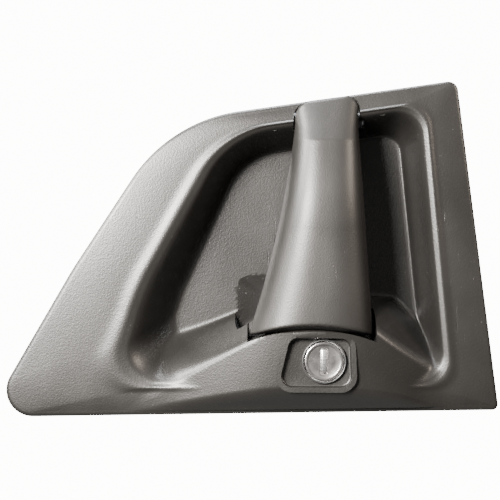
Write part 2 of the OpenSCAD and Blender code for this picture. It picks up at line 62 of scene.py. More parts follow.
# --- shader sockets in Python arithmetic ---
class Value:
    """A number socket that takes part in Python arithmetic."""

    def __init__(self, tree: bpy.types.NodeTree, socket: bpy.types.NodeSocket) -> None:
        """Keep the socket and the tree that it is in."""
        self.tree = tree
        self.socket = socket

    def maths(self, operation: str, *values: Union["Value", float]) -> "Value":
        """Add one Math node.

        Args:
            operation: Name of the node's operation.
            values: Its inputs, sockets or numbers.

        Returns:
            The result socket.
        """
        node = self.tree.nodes.new("ShaderNodeMath")
        node.operation = operation
        for plug, value in zip(node.inputs, values):
            if isinstance(value, Value):
                self.tree.links.new(value.socket, plug)
            else:
                plug.default_value = value
        return Value(self.tree, node.outputs[0])

    def __add__(self, other: Union["Value", float]) -> "Value":
        """Return self + other."""
        return self.maths("ADD", self, other)

    def __radd__(self, other: float) -> "Value":
        """Return other + self."""
        return self.maths("ADD", other, self)

    def __sub__(self, other: Union["Value", float]) -> "Value":
        """Return self - other."""
        return self.maths("SUBTRACT", self, other)

    def __rsub__(self, other: float) -> "Value":
        """Return other - self."""
        return self.maths("SUBTRACT", other, self)

    def __mul__(self, other: Union["Value", float]) -> "Value":
        """Return self * other."""
        return self.maths("MULTIPLY", self, other)

    def __rmul__(self, other: float) -> "Value":
        """Return other * self."""
        return self.maths("MULTIPLY", other, self)

    def __pow__(self, other: float) -> "Value":
        """Return self to the power of other."""
        return self.maths("POWER", self, other)

    def between(self, low: float, high: float) -> "Value":
        """Return 0 below low, 1 above high and a straight ramp in between."""
        return ((self - low) * (1.0 / (high - low))).limited()

    def limited(self) -> "Value":
        """Return the value held between 0 and 1."""
        return self.maths("MINIMUM", self.maths("MAXIMUM", self, 0.0), 1.0)


class Paint:
    """One material's node tree, made around a Principled shader."""

    def __init__(self, name: str) -> None:
        """Make an empty material of that name with its shader and output."""
        self.material = bpy.data.materials.new(name)
        self.material.use_nodes = True
        self.tree = self.material.node_tree
        self.tree.nodes.clear()
        self.shader = self.tree.nodes.new("ShaderNodeBsdfPrincipled")
        output = self.tree.nodes.new("ShaderNodeOutputMaterial")
        self.tree.links.new(self.shader.outputs[0], output.inputs[0])
        self.place = self.node("ShaderNodeTexCoord").outputs["Object"]

    def node(self, kind: str, settings: Optional[dict[str, Any]] = None, **plugs: Any) -> bpy.types.Node:
        """Add one node.

        Args:
            kind: Blender's name of the node type.
            settings: Node properties, set first; "stops" sets a ramp's positions and colours.
            plugs: Values or links of its inputs, with underscores for the spaces in their names.

        Returns:
            The node.
        """
        made = self.tree.nodes.new(kind)
        for key, value in (settings or {}).items():
            if key != "stops":
                setattr(made, key, value)
                continue
            ramp = made.color_ramp.elements
            while len(ramp) < len(value):
                ramp.new(0.5)
            for stop, (position, colour) in zip(ramp, value):
                stop.position = position
                stop.color = (*colour, 1.0)
        for key, value in plugs.items():
            plug = made.inputs[key.replace("_", " ")]
            if isinstance(value, Value):
                value = value.socket
            if isinstance(value, bpy.types.NodeSocket):
                self.tree.links.new(value, plug)
            else:
                plug.default_value = value
        return made

    def noise(self, scale: float, detail: float = 2.0, stretch: Optional[Sequence[float]] = None) -> Value:
        """Return noise with that many cells a metre, stretched along the axes when given."""
        where = self.place
        if stretch is not None:
            where = self.node("ShaderNodeMapping", Vector=where, Scale=tuple(stretch)).outputs[0]
        made = self.node("ShaderNodeTexNoise", Vector=where, Scale=scale, Detail=detail, Roughness=0.55)
        return Value(self.tree, made.outputs[0])

    def cells(self, scale: float, feature: str = "SMOOTH_F1") -> Value:
        """Return the distance inside cells, that many a metre."""
        made = self.node("ShaderNodeTexVoronoi", {"feature": feature}, Vector=self.place, Scale=scale)
        return Value(self.tree, made.outputs["Distance"])

    def edges(self) -> Value:
        """Return how much the surface stands out: 0.5 flat, above on edges, below in corners."""
        return Value(self.tree, self.node("ShaderNodeNewGeometry").outputs["Pointiness"])

    def blend(self, share: Value, first: Any, second: Any) -> bpy.types.NodeSocket:
        """Mix two colours, given as colours or sockets."""
        made = self.node("ShaderNodeMix", {"data_type": "RGBA"})
        self.tree.links.new(share.socket, made.inputs[0])
        for plug, colour in zip((made.inputs[6], made.inputs[7]), (first, second)):
            if isinstance(colour, bpy.types.NodeSocket):
                self.tree.links.new(colour, plug)
            else:
                plug.default_value = (*colour, 1.0)
        return made.outputs[2]

    def relief(self, height: Value, depth: float, strength: float = 1.0) -> None:
        """Bump the surface by a height field that is depth metres deep."""
        made = self.node("ShaderNodeBump", Height=height, Distance=depth, Strength=strength)
        self.tree.links.new(made.outputs[0], self.shader.inputs["Normal"])

    def feed(self, **plugs: Any) -> None:
        """Set or link inputs of the shader."""
        for key, value in plugs.items():
            plug = self.shader.inputs[key.replace("_", " ")]
            if isinstance(value, Value):
                value = value.socket
            if isinstance(value, bpy.types.NodeSocket):
                self.tree.links.new(value, plug)
            elif isinstance(value, tuple):
                plug.default_value = (*value, 1.0)
            else:
                plug.default_value = value


# --- finishes ---
@dataclass(frozen=True)
class Moulded:
    """Grained plastic: fine pits, soft patches of sheen, dust in the pits and rubbed edges."""

    name: str
    colour: Colour
    worn: Colour
    roughness: float = 0.45
    grain: float = 1500.0
    depth: float = 0.00006
    patches: float = 14.0
    dust: float = 0.0

    def material(self) -> bpy.types.Material:
        """Build the finish and return it."""
        paint = Paint(self.name)
        pits = paint.cells(self.grain)
        cloud = paint.noise(self.patches, 4.0)
        fine = paint.noise(self.grain * 0.6, 3.0)
        smear = paint.noise(self.patches * 3.0, 3.0, (1.0, 1.0, 0.35))
        rubbed = paint.edges().between(0.515, 0.56) * fine.between(0.3, 0.7)
        tone = paint.blend(cloud.between(0.35, 0.7) * 0.45, self.colour, self.worn)
        tone = paint.blend(rubbed * 0.6, tone, self.worn)
        speck = paint.noise(900.0, 1.0).between(0.76, 0.80) * paint.noise(31.0).between(0.5, 0.6) * self.dust
        tone = paint.blend(speck, tone, (0.20, 0.20, 0.19))
        line = paint.noise(90.0, 2.0, (9.0, 9.0, 0.5)).between(0.70, 0.73) * smear.between(0.5, 0.62)
        paint.feed(Base_Color=tone, Roughness=self.roughness + (cloud - 0.5) * 0.16 + (smear - 0.5) * 0.14
                   + pits * 0.06 - line * 0.1)
        paint.relief(pits * 0.7 + fine * 0.6 - line * 0.5, self.depth)
        return paint.material


@dataclass(frozen=True)
class Plated:
    """Bare or plated metal: small crystals, drawn lines, handling marks and darker hollows."""

    name: str
    colour: Colour
    stain: Colour
    roughness: float = 0.35
    crystals: float = 900.0
    depth: float = 0.00001
    drawn: Optional[tuple[float, float, float]] = None

    def material(self) -> bpy.types.Material:
        """Build the finish and return it."""
        paint = Paint(self.name)
        crystal = paint.cells(self.crystals)
        cloud = paint.noise(60.0, 5.0)
        lines = paint.noise(260.0, 3.0, self.drawn or (1.0, 1.0, 1.0))
        hollow = 1.0 - paint.edges().between(0.44, 0.5)
        tone = paint.blend(cloud.between(0.4, 0.75) * 0.5, self.colour, self.stain)
        tone = paint.blend(hollow * 0.5, tone, self.stain)
        paint.feed(Base_Color=tone, Metallic=1.0 - hollow * 0.15,
                   Roughness=self.roughness + (cloud - 0.5) * 0.2 + crystal * 0.1 + (lines - 0.5) * 0.15)
        paint.relief(crystal * 0.4 + lines * 0.8, self.depth)
        return paint.material


@dataclass(frozen=True)
class Soft:
    """Rubber or foam: open cells, a dull skin and pale bloom."""

    name: str
    colour: Colour
    bloom: Colour
    cell: float = 1200.0
    depth: float = 0.00012

    def material(self) -> bpy.types.Material:
        """Build the finish and return it."""
        paint = Paint(self.name)
        cell = paint.cells(self.cell, "F1")
        cloud = paint.noise(45.0, 5.0)
        tone = paint.blend(cloud.between(0.45, 0.8) * 0.5, self.colour, self.bloom)
        paint.feed(Base_Color=tone, Roughness=0.75 + (cloud - 0.5) * 0.2 + cell * 0.05)
        paint.relief(cell, self.depth)
        return paint.material


class Finish(Enum):
    """The finishes on this handle."""

    PANEL = Moulded("panel_plastic", (0.0070, 0.0066, 0.0062), (0.015, 0.0142, 0.0132), roughness=0.35,
                    grain=1500.0, depth=0.00007, patches=13.0, dust=0.5)
    GRIP = Moulded("grip_plastic", (0.0085, 0.0080, 0.0074), (0.019, 0.018, 0.0165), roughness=0.40,
                   grain=1700.0, depth=0.00006, patches=18.0, dust=0.35)
    COVER = Moulded("cover_plastic", (0.030, 0.030, 0.031), (0.055, 0.055, 0.055), roughness=0.5,
                    grain=1100.0, depth=0.00004)
    BEZEL = Moulded("bezel_plastic", (0.012, 0.012, 0.013), (0.04, 0.04, 0.04), roughness=0.34, grain=2200.0,
                    depth=0.00002)
    BUSH = Moulded("bush_acetal", (0.05, 0.05, 0.05), (0.09, 0.09, 0.085), roughness=0.36, grain=2600.0,
                   depth=0.00001, patches=60.0)
    ACETAL = Moulded("acetal", (0.70, 0.68, 0.61), (0.56, 0.53, 0.46), roughness=0.38, grain=2600.0,
                     depth=0.00001, patches=60.0)
    NYLON = Moulded("nylon", (0.62, 0.54, 0.38), (0.46, 0.38, 0.25), roughness=0.42, grain=2600.0,
                    depth=0.00001, patches=60.0)
    ZINC = Plated("zinc_steel", (0.62, 0.64, 0.66), (0.36, 0.37, 0.38), roughness=0.34, crystals=1100.0,
                  depth=0.000012)
    STAMPED = Plated("stamped_steel", (0.52, 0.53, 0.55), (0.27, 0.27, 0.28), roughness=0.42, crystals=700.0,
                     depth=0.00002)
    BRIGHT = Plated("ground_steel", (0.74, 0.75, 0.77), (0.46, 0.46, 0.47), roughness=0.22, crystals=1600.0,
                    depth=0.000005, drawn=(12.0, 1.0, 1.0))
    SPRING = Plated("spring_steel", (0.36, 0.37, 0.39), (0.16, 0.16, 0.17), roughness=0.30, crystals=1500.0,
                    depth=0.000006)
    BLACKED = Plated("blacked_steel", (0.10, 0.10, 0.105), (0.05, 0.045, 0.04), roughness=0.45,
                     crystals=1300.0, depth=0.00001)
    DIE_CAST = Plated("die_cast_zinc", (0.46, 0.46, 0.45), (0.28, 0.28, 0.27), roughness=0.48, crystals=500.0,
                      depth=0.00004)
    BRASS = Plated("brass", (0.70, 0.51, 0.22), (0.42, 0.28, 0.11), roughness=0.3, crystals=1200.0,
                   depth=0.000008, drawn=(1.0, 14.0, 1.0))
    CHROME = Plated("chrome", (0.90, 0.88, 0.87), (0.70, 0.66, 0.63), roughness=0.16, crystals=2400.0,
                    depth=0.000002)
    SHUTTER = Plated("shutter_steel", (0.92, 0.92, 0.93), (0.66, 0.65, 0.64), roughness=0.24, crystals=1800.0,
                     depth=0.000004, drawn=(1.0, 1.0, 9.0))
    FOAM = Soft("gasket_foam", (0.010, 0.010, 0.011), (0.035, 0.035, 0.036))
    RUBBER = Soft("seal_rubber", (0.012, 0.012, 0.012), (0.05, 0.05, 0.05), cell=2400.0, depth=0.00002)


FRAME_FINISH: dict[str, Finish] = {
    "panel_gasket": Finish.FOAM, "fixing_studs": Finish.ZINC, "hinge_bracket": Finish.BLACKED,
    "hinge_pin": Finish.STAMPED, "hinge_pin_clip": Finish.BLACKED, "hinge_bushes": Finish.BUSH,
    "grip_spring": Finish.SPRING, "grip_cover": Finish.COVER, "grip_screws": Finish.ZINC,
    "pull_arm": Finish.ZINC, "arm_screws": Finish.ZINC, "mechanism_bracket": Finish.STAMPED,
    "bracket_screws": Finish.ZINC, "crank_pivot_pin": Finish.BRIGHT, "crank_pivot_clip": Finish.BLACKED,
    "crank_lever": Finish.STAMPED, "crank_roller": Finish.ACETAL, "crank_roller_pin": Finish.BRIGHT,
    "crank_spring": Finish.SPRING, "latch_rod_clip": Finish.NYLON, "lock_housing": Finish.DIE_CAST,
    "lock_seal": Finish.RUBBER, "lock_clip": Finish.ZINC, "lock_plug": Finish.BRASS,
    "lock_wafers": Finish.BRASS, "wafer_springs": Finish.SPRING, "shutter_pin": Finish.BRIGHT,
    "tail_lever": Finish.ZINC, "tail_screw": Finish.ZINC, "lock_rod_clip": Finish.NYLON,
}


class Wardrobe:
    """Builds each finish once and hands it to pieces."""

    def __init__(self) -> None:
        """Start with no finish built."""
        self.built: dict[Finish, bpy.types.Material] = {}

    def get(self, finish: Finish) -> bpy.types.Material:
        """Return the finish's material, built on first use."""
        if finish not in self.built:
            self.built[finish] = finish.value.material()
        return self.built[finish]

    def dress(self, piece: bpy.types.Object, finish: Finish) -> None:
        """Put the finish on every slot of a piece."""
        if not piece.material_slots:
            piece.data.materials.append(self.get(finish))
        for slot in piece.material_slots:
            slot.material = self.get(finish)


# --- outlines and lofts ---
def normal_in(first: np.ndarray, second: np.ndarray) -> np.ndarray:
    """Return the unit normal of an edge that points into a counter-clockwise outline."""
    edge = (second - first) / np.linalg.norm(second - first)
    return np.array([-edge[1], edge[0]])


@dataclass(frozen=True)
class Outline:
    """A rounded outline in X and Z: corners with radii, counter-clockwise seen from outside."""

    corners: tuple[Corner, ...]

    def normals(self, index: int) -> tuple[np.ndarray, np.ndarray]:
        """Return the inward normals of the edges before and after a corner."""
        points = [np.array(corner[:2]) for corner in self.corners]
        count = len(points)
        return (normal_in(points[index - 1], points[index]),
                normal_in(points[index], points[(index + 1) % count]))

    def inset(self, distance: float) -> "Outline":
        """Return the outline moved inwards by a distance, outwards when it is negative."""
        moved = []
        for index, (x, z, radius) in enumerate(self.corners):
            before, after = self.normals(index)
            shift = (before + after) * distance / (1 + before @ after)
            moved.append((x + shift[0], z + shift[1], max(0.3, radius - distance)))
        return Outline(tuple(moved))

    def points(self, arcs: Sequence[int], sides: Sequence[int]) -> np.ndarray:
        """Lay points round the outline.

        Args:
            arcs: Steps on each corner.
            sides: Steps on the side that follows each corner.

        Returns:
            The points as an array of X and Z.
        """
        bends = []
        for index, (x, z, radius) in enumerate(self.corners):
            before, after = self.normals(index)
            turn = math.acos(max(-1.0, min(1.0, float(before @ after))))
            centre = np.array([x, z]) + (before + after) * radius / (1 + before @ after)
            angles = np.linspace(0.0, turn, arcs[index] + 1)
            spun = np.stack([before[0] * np.cos(angles) - before[1] * np.sin(angles),
                             before[0] * np.sin(angles) + before[1] * np.cos(angles)], axis=1)
            bends.append(centre - radius * spun)
        laid = []
        for index, bend in enumerate(bends):
            ahead = bends[(index + 1) % len(bends)][0]
            share = np.arange(1, sides[index])[:, None] / sides[index]
            laid += [bend, bend[-1] + (ahead - bend[-1]) * share]
        return np.concatenate(laid)


def ring_at(points: np.ndarray, y: Union[float, np.ndarray]) -> np.ndarray:
    """Return X, Y, Z points from X, Z points and a depth."""
    return np.stack([points[:, 0], np.broadcast_to(y, len(points)), points[:, 1]], axis=1)


def pole_of(ring: np.ndarray) -> np.ndarray:
    """Return a ring shrunk to its middle."""
    return np.repeat(ring.mean(axis=0)[None, :], len(ring), axis=0)


def ease(share: Any) -> Any:
    """Return a share from 0 to 1, slow at both ends."""
    return share * share * (3 - 2 * share)


def soft_min(first: np.ndarray, second: np.ndarray, width: float) -> np.ndarray:
    """Return the lower of two heights, rounded where they cross."""
    blend = np.clip(0.5 + 0.5 * (second - first) / width, 0, 1)
    return second * (1 - blend) + first * blend - width * blend * (1 - blend)


def soft_max(first: np.ndarray, second: np.ndarray, width: float) -> np.ndarray:
    """Return the higher of two heights, rounded where they cross."""
    return -soft_min(-first, -second, width)


class Bench:
    """Modelling steps that the pieces share. Sizes come in millimetres."""

    @staticmethod
    def clear() -> None:
        """Leave edit mode and deselect everything."""
        if bpy.context.mode != "OBJECT":
            bpy.ops.object.mode_set(mode="OBJECT")
        bpy.ops.object.select_all(action="DESELECT")

    @classmethod
    def pick(cls, piece: bpy.types.Object) -> None:
        """Make a piece the only one selected, and active."""
        cls.clear()
        piece.select_set(True)
        bpy.context.view_layer.objects.active = piece

    @classmethod
    def close(cls, piece: bpy.types.Object) -> None:
        """Merge doubled points and turn all faces outwards."""
        cls.pick(piece)
        bpy.ops.object.mode_set(mode="EDIT")
        bpy.ops.mesh.select_all(action="SELECT")
        bpy.ops.mesh.remove_doubles(threshold=2e-6)
        bpy.ops.mesh.dissolve_degenerate(threshold=1e-7)
        bpy.ops.mesh.normals_make_consistent(inside=False)
        bpy.ops.object.mode_set(mode="OBJECT")

    @classmethod
    def loft(cls, name: str, rings: Sequence[np.ndarray]) -> bpy.types.Object:
        """Bend a grid into a closed skin over rings, with a pole at each end.

        Args:
            name: Name of the piece.
            rings: Closed rings with the same number of points, in millimetres.

        Returns:
            The piece, with its faces outwards.
        """
        cls.clear()
        body = [pole_of(rings[0]), *rings, pole_of(rings[-1])]
        table = np.array([np.vstack([ring, ring[:1]]) for ring in body])
        rows, columns = table.shape[:2]
        bpy.ops.mesh.primitive_grid_add(x_subdivisions=columns - 1, y_subdivisions=rows - 1, size=2)
        piece = bpy.context.active_object
        piece.name = piece.data.name = name
        flat = np.array([vertex.co[:2] for vertex in piece.data.vertices])
        column = np.rint((flat[:, 0] + 1) / 2 * (columns - 1)).astype(int)
        row = np.rint((flat[:, 1] + 1) / 2 * (rows - 1)).astype(int)
        piece.data.vertices.foreach_set("co", (table[row, column] * MM).astype(np.float32).ravel())
        piece.data.update()
        cls.close(piece)
        return piece

    @classmethod
    def plate(cls, name: str, points: Sequence[Point], low: float, high: float, axis: int = 1) -> bpy.types.Object:
        """Extrude an outline along an axis.

        Args:
            name: Name of the piece.
            points: The outline in the other two axes.
            low: Where it starts along the axis.
            high: Where it ends.
            axis: 0 for X, 1 for Y, 2 for Z.

        Returns:
            The closed piece.
        """
        cls.clear()
        bpy.ops.mesh.primitive_circle_add(vertices=len(points), fill_type="NGON")
        piece = bpy.context.active_object
        piece.name = piece.data.name = name
        spots = np.insert(np.array(points, float), axis, low, axis=1)
        piece.data.vertices.foreach_set("co", (spots * MM).astype(np.float32).ravel())
        run = [0.0, 0.0, 0.0]
        run[axis] = (high - low) * MM
        bpy.ops.object.mode_set(mode="EDIT")
        bpy.ops.mesh.select_all(action="SELECT")
        bpy.ops.mesh.extrude_region_move(TRANSFORM_OT_translate={"value": run})
        bpy.ops.object.mode_set(mode="OBJECT")
        cls.close(piece)
        return piece

    @classmethod
    def turned(cls, name: str, profile: Sequence[Point], centre: Point, steps: int = 96,
               axis: int = 1) -> bpy.types.Object:
        """Spin a profile about an axis.

        Args:
            name: Name of the piece.
            profile: Radius and place along the axis, round a closed outline.
            centre: The axis's place in the other two axes.
            steps: Steps of the spin.
            axis: 0 to turn about X, 1 about Y.

        Returns:
            The closed piece.
        """
        cls.clear()
        bpy.ops.mesh.primitive_circle_add(vertices=len(profile), fill_type="NOTHING")
        piece = bpy.context.active_object
        piece.name = piece.data.name = name
        if axis == 1:
            spots = [(centre[0] + radius, along, centre[1]) for radius, along in profile]
            middle, about = (centre[0] * MM, 0, centre[1] * MM), (0, 1, 0)
        else:
            spots = [(along, centre[0] + radius, centre[1]) for radius, along in profile]
            middle, about = (0, centre[0] * MM, centre[1] * MM), (1, 0, 0)
        piece.data.vertices.foreach_set("co", (np.array(spots) * MM).astype(np.float32).ravel())
        bpy.ops.object.mode_set(mode="EDIT")
        bpy.ops.mesh.select_all(action="SELECT")
        bpy.ops.mesh.spin(steps=steps, angle=math.tau, center=middle, axis=about)
        bpy.ops.object.mode_set(mode="OBJECT")
        cls.close(piece)
        return piece

    @classmethod
    def carve(cls, piece: bpy.types.Object, tool: bpy.types.Object, how: str = "DIFFERENCE") -> None:
        """Join, cut or intersect a piece with a tool, which is used up."""
        cls.pick(piece)
        step = piece.modifiers.new(how.lower(), "BOOLEAN")
        step.operation = how
        step.solver = "MANIFOLD"
        step.object = tool
        bpy.ops.object.modifier_apply(modifier=step.name)
        bpy.data.objects.remove(tool)

    @classmethod
    def finish(cls, piece: bpy.types.Object, angle: float = 32.0) -> None:
        """Shade the piece smooth up to an angle in degrees."""
        cls.pick(piece)
        bpy.ops.object.shade_smooth_by_angle(angle=math.radians(angle))
        cls.clear()


def rod(name: str, x: float, z: float, low: float, high: float, radius: float, soft: float = 0.0,
        steps: int = 48) -> bpy.types.Object:
    """Return a round bar along Y with its far end softened by a chamfer."""
    return Bench.turned(name, [(0.0, low), (radius, low), (radius, high - soft), (radius - soft, high),
                               (0.0, high)], (x, z), steps)


def rounded(x0: float, x1: float, z0: float, z1: float, radius: float) -> Outline:
    """Return a rounded rectangle."""
    return Outline(((x0, z0, radius), (x1, z0, radius), (x1, z1, radius), (x0, z1, radius)))


def drawn_block(name: str, outline: Outline, steps: Sequence[tuple[float, float]]) -> bpy.types.Object:
    """Loft an outline along Y through pairs of inset and depth."""
    count = len(outline.corners)
    return Bench.loft(name, [ring_at(outline.inset(inset).points([8] * count, [6] * count), y)
                             for inset, y in steps])


def head_top(x: Any, gap: float = 0.0) -> Any:
    """Return the top of the grip's head: the panel's edge line, rounded at both corners."""
    left, right, radius = 7.4 - gap, 39.3 + gap, 7.5
    near = np.minimum(np.asarray(x) - left, right - np.asarray(x))
    short = np.clip(1 - near / radius, 0, 1)
    return 94.4 + 0.142 * (np.asarray(x) + 55.3) + gap * 0.3 - radius * (1 - np.sqrt(1 - short ** 2))


# --- the panel ---
@dataclass
class Panel:
    """The moulded panel: flange, bowl, plinth round the lock, and what stands on its back."""

    wardrobe: Wardrobe
    wall: float = 2.5
    flange_y: float = -6.0
    edge_y: float = -4.6
    land_y: float = -1.5
    floor_y: float = 20.0
    plateau_y: float = -22.3
    pocket_y: float = -17.6
    lock: Point = (21.3, -24.6)
    arch_centre: Point = (15.3, -92.0)
    arch_radius: float = 83.0
    edge: Outline = Outline(((-147.6, -54, 13.4), (110, -50.4, 3), (89, 115.4, 5), (-55.3, 94.9, 78),
                             (-104.5, 20, 200)))
    rim: Outline = Outline(((-83, -37.5, 16), (83.9, -37, 14), (71.3, 102.6, 14), (-26.3, 88.7, 46),
                            (-70, 9, 120)))
    floor: Outline = Outline(((-58, -17, 12), (73, -19, 9), (62, 90, 9), (-19, 77.5, 32), (-49, 9, 90)))
    pocket: Outline = Outline(((-1.4, -37, 5.5), (35, -37.2, 5.5), (34, -13.2, 5), (4.5, -13.2, 5)))
    arcs: tuple[int, ...] = (28, 16, 16, 56, 24)
    sides: tuple[int, ...] = (190, 130, 90, 40, 50)
    recess: tuple[float, float, float, float] = (-19.5, 19.0, -10.2, 15.0)
    ways: tuple[tuple[str, tuple[float, ...], float, float], ...] = (
        ("ear_way", (9.2, 38.3, 83, 99.2, 1.2), -8.0, 12.2),
        ("cheek_way", (6.9, 40.7, 90.6, 99.2, 0.3), -1.2, 12.2),
        ("pin_way", (40.0, 43.0, 90.8, 99.2, 0.3), -1.2, 8.6),
    )
    slot: tuple[float, float, float, float] = (-1.5, 12.6, -9.6, 14.6)
    posts: tuple[Point, ...] = ((-31, -14), (-24, 24), (34, 24))
    hinge_posts: tuple[Point, ...] = ((-3, 93.4), (51, 101.1))
    studs: tuple[Point, ...] = field(default_factory=tuple)

    def plinth(self, x: np.ndarray, z: np.ndarray, behind: float = 0.0) -> np.ndarray:
        """Return the depth of the plinth's skin, or of its inner face a wall behind it."""
        along = -0.885 * (x + 16) - 0.464 * (z + 14.5)
        across = -0.464 * (x + 16) + 0.885 * (z + 14.5)
        steep = 3.0 - 1.75 * np.clip(along / 45, 0, 1)
        crown = self.plateau_y + ((x - 8) / 46) ** 2 * 4.2 + 0.09 * (-12 - z)
        fall = 0.838 * (x - 47) - 0.544 * (z + 10)
        climb = 0.544 * (x - 47) + 0.838 * (z + 10)
        faces = [crown + behind,
                 -21.8 + 0.30 * (-4 - x) + behind * 1.04,
                 -22 + 0.55 * (x - 45) + behind * 1.14,
                 -20.5 + 0.40 * fall + 2.0 * climb + behind * 2.3,
                 -21.6 + 1.45 * (-38.6 - z) + behind * 1.76,
                 -18.1 + 0.266 * along + steep * across + behind * np.hypot(1, steep),
                 -22 + 4 * (z + 5) + behind * 4.1]
        skin = faces[0]
        for face in faces[1:]:
            skin = soft_max(skin, face, 5.0)
        return skin

    def shape(self, rings: list[np.ndarray], behind: float = 0.0) -> list[np.ndarray]:
        """Raise the plinth out of the given rings."""
        raised = []
        for ring in rings:
            x, z = ring[:, 0], ring[:, 2]
            depth = soft_min(ring[:, 1], self.plinth(x, z, behind), 5.0)
            if behind:
                reach = np.hypot(x - self.arch_centre[0], z - self.arch_centre[1])
                inside = np.minimum.reduce([x + 22.0, 52.6 - x, reach - self.arch_radius + 5.0, 24.0 - z])
                depth += np.clip(inside / 1.2, 0, 1) * np.maximum(3.8 - depth, 0)
            raised.append(ring_at(ring[:, [0, 2]], depth))
        return raised

    def loop(self, outline: Outline) -> np.ndarray:
        """Return an outline's points on the panel's own count."""
        return outline.points(self.arcs, self.sides)

    def front(self) -> list[np.ndarray]:
        """Return the front's rings, from the bowl's middle to the edge."""
        floor, rim, edge = self.loop(self.floor), self.loop(self.rim), self.loop(self.edge.inset(2.4))
        middle = np.array([10.0, 30.0])
        rings = []
        for share in np.linspace(0.04, 1, 24) ** 0.8:
            rings.append(ring_at(middle + (floor - middle) * share, self.floor_y))
        for share in np.linspace(1, 0, 24)[1:]:
            depth = self.flange_y + (self.floor_y - self.flange_y) * ease(share)
            rings.append(ring_at(rim + (floor - rim) * share, depth))
        for share in np.linspace(0, 1, 22)[1:]:
            bead = 0.9 * math.exp(-((share - 0.10) / 0.10) ** 2)
            depth = self.flange_y + (self.edge_y - self.flange_y) * share ** 2.0 - bead
            rings.append(ring_at(rim + (edge - rim) * share, depth))
        return self.shape(rings)

    def back(self) -> list[np.ndarray]:
        """Return the back's rings, from the land inwards to the bowl's middle."""
        floor, rim = self.loop(self.floor.inset(-self.wall * 0.6)), self.loop(self.rim.inset(-self.wall * 0.8))
        land = self.loop(self.edge.inset(5.2))
        middle = np.array([10.0, 30.0])
        rings = [ring_at(land, -2.4)]
        for share in (0.3, 0.6, 0.85):
            rings.append(ring_at(land + (rim - land) * share, -2.4 - 1.1 * share))
        for share in np.linspace(0, 1, 24):
            depth = self.flange_y + self.wall + (self.floor_y - self.flange_y) * ease(share)
            rings.append(ring_at(rim + (floor - rim) * share, depth))
        for share in np.linspace(1, 0.05, 16)[1:]:
            rings.append(ring_at(middle + (floor - middle) * share, self.floor_y + self.wall))
        return self.shape(rings, self.wall)

    def skin(self) -> bpy.types.Object:
        """Loft the closed skin of the panel."""
        edge = []
        for turn in np.linspace(0, math.pi / 2, 7)[1:]:
            inset, depth = 2.4 * (1 - math.sin(turn)), self.edge_y + 2.0 * (1 - math.cos(turn))
            edge.append(ring_at(self.loop(self.edge.inset(inset)), depth))
        edge.append(ring_at(self.loop(self.edge), self.land_y))
        edge.append(ring_at(self.loop(self.edge.inset(5.0)), self.land_y))
        return Bench.loft("panel_skin", self.front() + edge + self.back())

    def add_back(self, skin: bpy.types.Object) -> None:
        """Join the barrel, the screw posts, the stud bosses, the peg, the recess and the pocket's back."""
        x, z = self.lock
        spots = [rod("barrel", x, z, self.plateau_y + 2.2, 12.8, 13.2, 0.6, 96),
                 rod("peg", -112, -28, -4.2, 5, 3, 0.8)]
        spots += [rod("post", px, pz, 15.5 if pz < 0 else self.floor_y + 1, 31, 4.2, 0.4) for px, pz in self.posts]
        spots += [rod("hinge_post", px, pz, -4.0, 9.8, 3.6, 0.4) for px, pz in self.hinge_posts]
        spots += [rod("stud_boss", px, pz, -4.2, self.land_y, 6.4, 0.3) for px, pz in self.studs]
        x0, x1, z0, z1 = self.recess
        spots.append(drawn_block("recess", rounded(x0 - 2.4, x1 + 2.4, z0 - 2.4, z1 + 2.4, 6),
                                 [(0, self.floor_y + 0.8), (0, 26.2), (0.5, 26.7)]))
        backing = self.pocket.inset(-self.wall)
        spots.append(drawn_block("pocket_back", backing, [(0, self.plateau_y + 1.6), (0, -15.6), (0.5, -15.1)]))
        for spot in spots:
            Bench.carve(skin, spot, "UNION")

    def cut_arch(self, skin: bpy.types.Object) -> None:
        """Cut the room for the grip's lower end and leave the arched ledge."""
        radius = self.arch_radius
        rounding = [(radius - 1.6 * (1 - math.cos(a)), -20.6 - 1.75 * math.sin(a))
                    for a in np.linspace(0, math.pi / 2, 7)]
        profile = [(radius, 1.0), *rounding, (radius - 1.6, -45), (150, -45), (150, 1.0)]
        tool = Bench.turned("arch", profile, self.arch_centre, 720)
        window = drawn_block("window", rounded(-16.3, 47.2, -34, 22, 3), [(0, -50), (0, 0.2), (0.8, 1.0)])
        Bench.carve(tool, window, "INTERSECT")
        Bench.carve(skin, tool)

